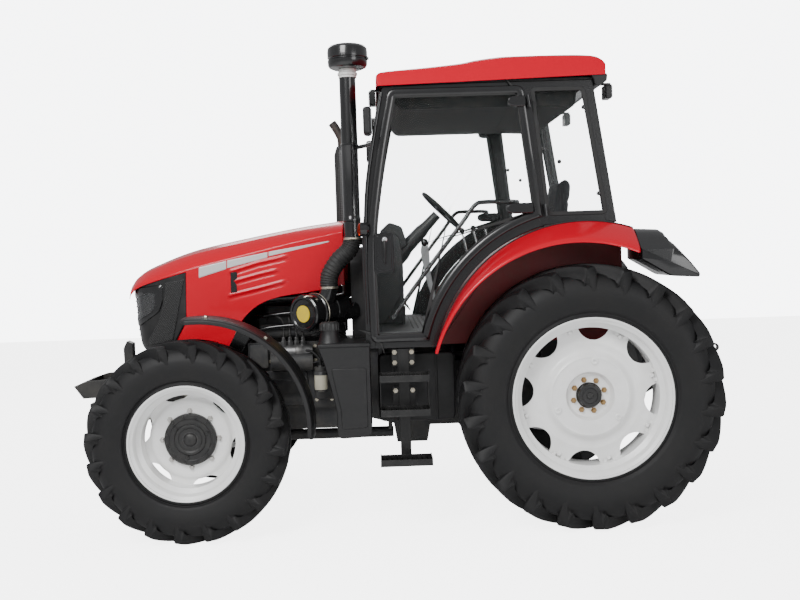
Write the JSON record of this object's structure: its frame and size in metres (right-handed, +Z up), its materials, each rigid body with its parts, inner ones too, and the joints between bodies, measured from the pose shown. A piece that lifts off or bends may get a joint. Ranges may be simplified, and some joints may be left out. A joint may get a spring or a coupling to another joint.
{
  "type": "farm tractor",
  "caption": "Four-wheel-drive farm tractor with a closed cab, a lifting hood, opening doors, steered front wheels with mudguards, steps, stacks and a rear three-point hitch.",
  "frame": {"origin": "on the ground, under the middle of the machine's length and width", "axes": "+X forward, +Y to the driver's left, +Z up"},
  "size_m": [4.025, 2, 2.8375],
  "materials": {
    "tyre": "dull, lightly dusted",
    "wheel_white": "gloss",
    "hub_black": "satin black paint",
    "frame_black": "satin",
    "casting_dark": "satin dark grey paint",
    "engine_dark": "satin",
    "body_red": "gloss red",
    "roof_red": "gloss red moulding",
    "guard_black": "grained black",
    "tank_black": "moulded, satin",
    "cab_black": "satin",
    "floor_grey": "rubber mat",
    "glazing": "clear, faint green",
    "lamp_clear": "clear lens over chrome",
    "lamp_red": "tail lamp housing with coloured lenses",
    "pipe_black": "satin",
    "hose_rubber": "dull",
    "exhaust_steel": "heat-tinted, dull",
    "seat_fabric": "woven black and grey",
    "wheel_rim_black": "soft grip",
    "mirror_black": "grained",
    "link_black": "satin",
    "zinc": "zinc plated"
  },
  "bodies": {
    "chassis": {"steps_left": "frame_black", "steps_right": "frame_black", "quarter_window_left": "glazing", "quarter_window_right": "glazing", "rear_fender_left": "body_red", "rear_fender_right": "body_red", "front_axle": "casting_dark", "transmission_housing": "casting_dark", "rear_axle_housing": "casting_dark", "engine": "engine_dark", "front_frame": "frame_black", "weight_carrier": "frame_black", "radiator": "frame_black", "air_cleaner": "tank_black", "intake_pipe": "pipe_black", "intake_hose": "hose_rubber", "exhaust": "exhaust_steel", "fuel_tanks": "tank_black", "battery_box": "tank_black", "cab_frame": "cab_black", "cab_floor": "floor_grey", "cab_roof": "roof_red", "windscreen": "glazing", "rear_window": "glazing", "tail_lamps": "lamp_red", "controls": "guard_black", "seat": "seat_fabric", "mirrors": "mirror_black", "work_lamps": "mirror_black", "top_link": "link_black", "drawbar": "zinc"},
    "rear_wheel_left": {"rear_tyre_left": "tyre", "rear_rim_left": "wheel_white", "rear_hub_left": "hub_black"},
    "front_wheel_left": {"front_tyre_left": "tyre", "front_rim_left": "wheel_white", "front_hub_left": "hub_black"},
    "steering_arm_left": {"knuckle_left": "casting_dark", "front_guard_left": "guard_black"},
    "cab_door_left": {"door_left": "cab_black", "door_glass_left": "glazing"},
    "rear_wheel_right": {"rear_tyre_right": "tyre", "rear_rim_right": "wheel_white", "rear_hub_right": "hub_black"},
    "front_wheel_right": {"front_tyre_right": "tyre", "front_rim_right": "wheel_white", "front_hub_right": "hub_black"},
    "steering_arm_right": {"knuckle_right": "casting_dark", "front_guard_right": "guard_black"},
    "cab_door_right": {"door_right": "cab_black", "door_glass_right": "glazing"},
    "engine_hood": {"hood": "body_red", "grille": "guard_black", "headlamps": "lamp_clear"},
    "steering_wheel": {"steering_wheel": "wheel_rim_black"},
    "lower_links": {"lower_links": "link_black"},
    "lift_arms": {"lift_arms": "link_black"},
    "lift_rods": {"lift_rods": "link_black"}
  },
  "joints": [
    {"name": "rear_wheel_left", "type": "hinge", "parent": "chassis", "child": "rear_wheel_left", "pos_m": [-1.0775, 0.8, 0.752], "axis": [0, 1, 0], "continuous": true},
    {"name": "rear_wheel_right", "type": "hinge", "parent": "chassis", "child": "rear_wheel_right", "pos_m": [-1.0775, -0.8, 0.752], "axis": [0, 1, 0], "continuous": true},
    {"name": "steer_left", "type": "hinge", "parent": "chassis", "child": "steering_arm_left", "pos_m": [1.2025, 0.62, 0.572], "axis": [0, 0, 1], "range_deg": [-35, 35]},
    {"name": "steer_right", "type": "hinge", "parent": "chassis", "child": "steering_arm_right", "pos_m": [1.2025, -0.62, 0.572], "axis": [0, 0, 1], "range_deg": [-35, 35]},
    {"name": "front_wheel_left", "type": "hinge", "parent": "steering_arm_left", "child": "front_wheel_left", "pos_m": [1.2025, 0.8, 0.572], "axis": [0, 1, 0], "continuous": true},
    {"name": "front_wheel_right", "type": "hinge", "parent": "steering_arm_right", "child": "front_wheel_right", "pos_m": [1.2025, -0.8, 0.572], "axis": [0, 1, 0], "continuous": true},
    {"name": "steering_wheel_turn", "type": "hinge", "parent": "chassis", "child": "steering_wheel", "pos_m": [-0.3175, 0, 1.857], "axis": [-0.7071, 0, 0.7071], "range_deg": [-420, 420]},
    {"name": "door_left", "type": "hinge", "parent": "chassis", "child": "cab_door_left", "pos_m": [-0.8595, 0.835, 1.77], "axis": [0.1302, 0, 0.9915], "range_deg": [0, 80]},
    {"name": "door_right", "type": "hinge", "parent": "chassis", "child": "cab_door_right", "pos_m": [-0.8595, -0.835, 1.77], "axis": [-0.1302, 0, -0.9915], "range_deg": [0, 80]},
    {"name": "hood_lift", "type": "hinge", "parent": "chassis", "child": "engine_hood", "pos_m": [0.3075, 0, 1.74], "axis": [0, -1, 0], "range_deg": [0, 50]},
    {"name": "hitch_lower", "type": "hinge", "parent": "chassis", "child": "lower_links", "pos_m": [-1.2875, 0, 0.56], "axis": [0, -1, 0], "range_deg": [0, 45]},
    {"name": "lift_arm_turn", "type": "hinge", "parent": "chassis", "child": "lift_arms", "pos_m": [-1.2925, 0, 1.01], "axis": [0, -1, 0], "range_deg": [0, 61.4]},
    {"name": "lift_rod_swing", "type": "hinge", "parent": "lift_arms", "child": "lift_rods", "pos_m": [-1.52231, 0, 1.20284], "axis": [0, -1, 0], "range_deg": [-59.8, 0]}
  ],
  "couplings": [
    {"joint": "steer_right", "follows": "steer_left", "ratio": 1},
    {"joint": "steering_wheel_turn", "follows": "steer_left", "ratio": 12},
    {"joint": "lift_arm_turn", "follows": "hitch_lower", "ratio": 1.359},
    {"joint": "lift_rod_swing", "follows": "hitch_lower", "ratio": -1.321}
  ]
}
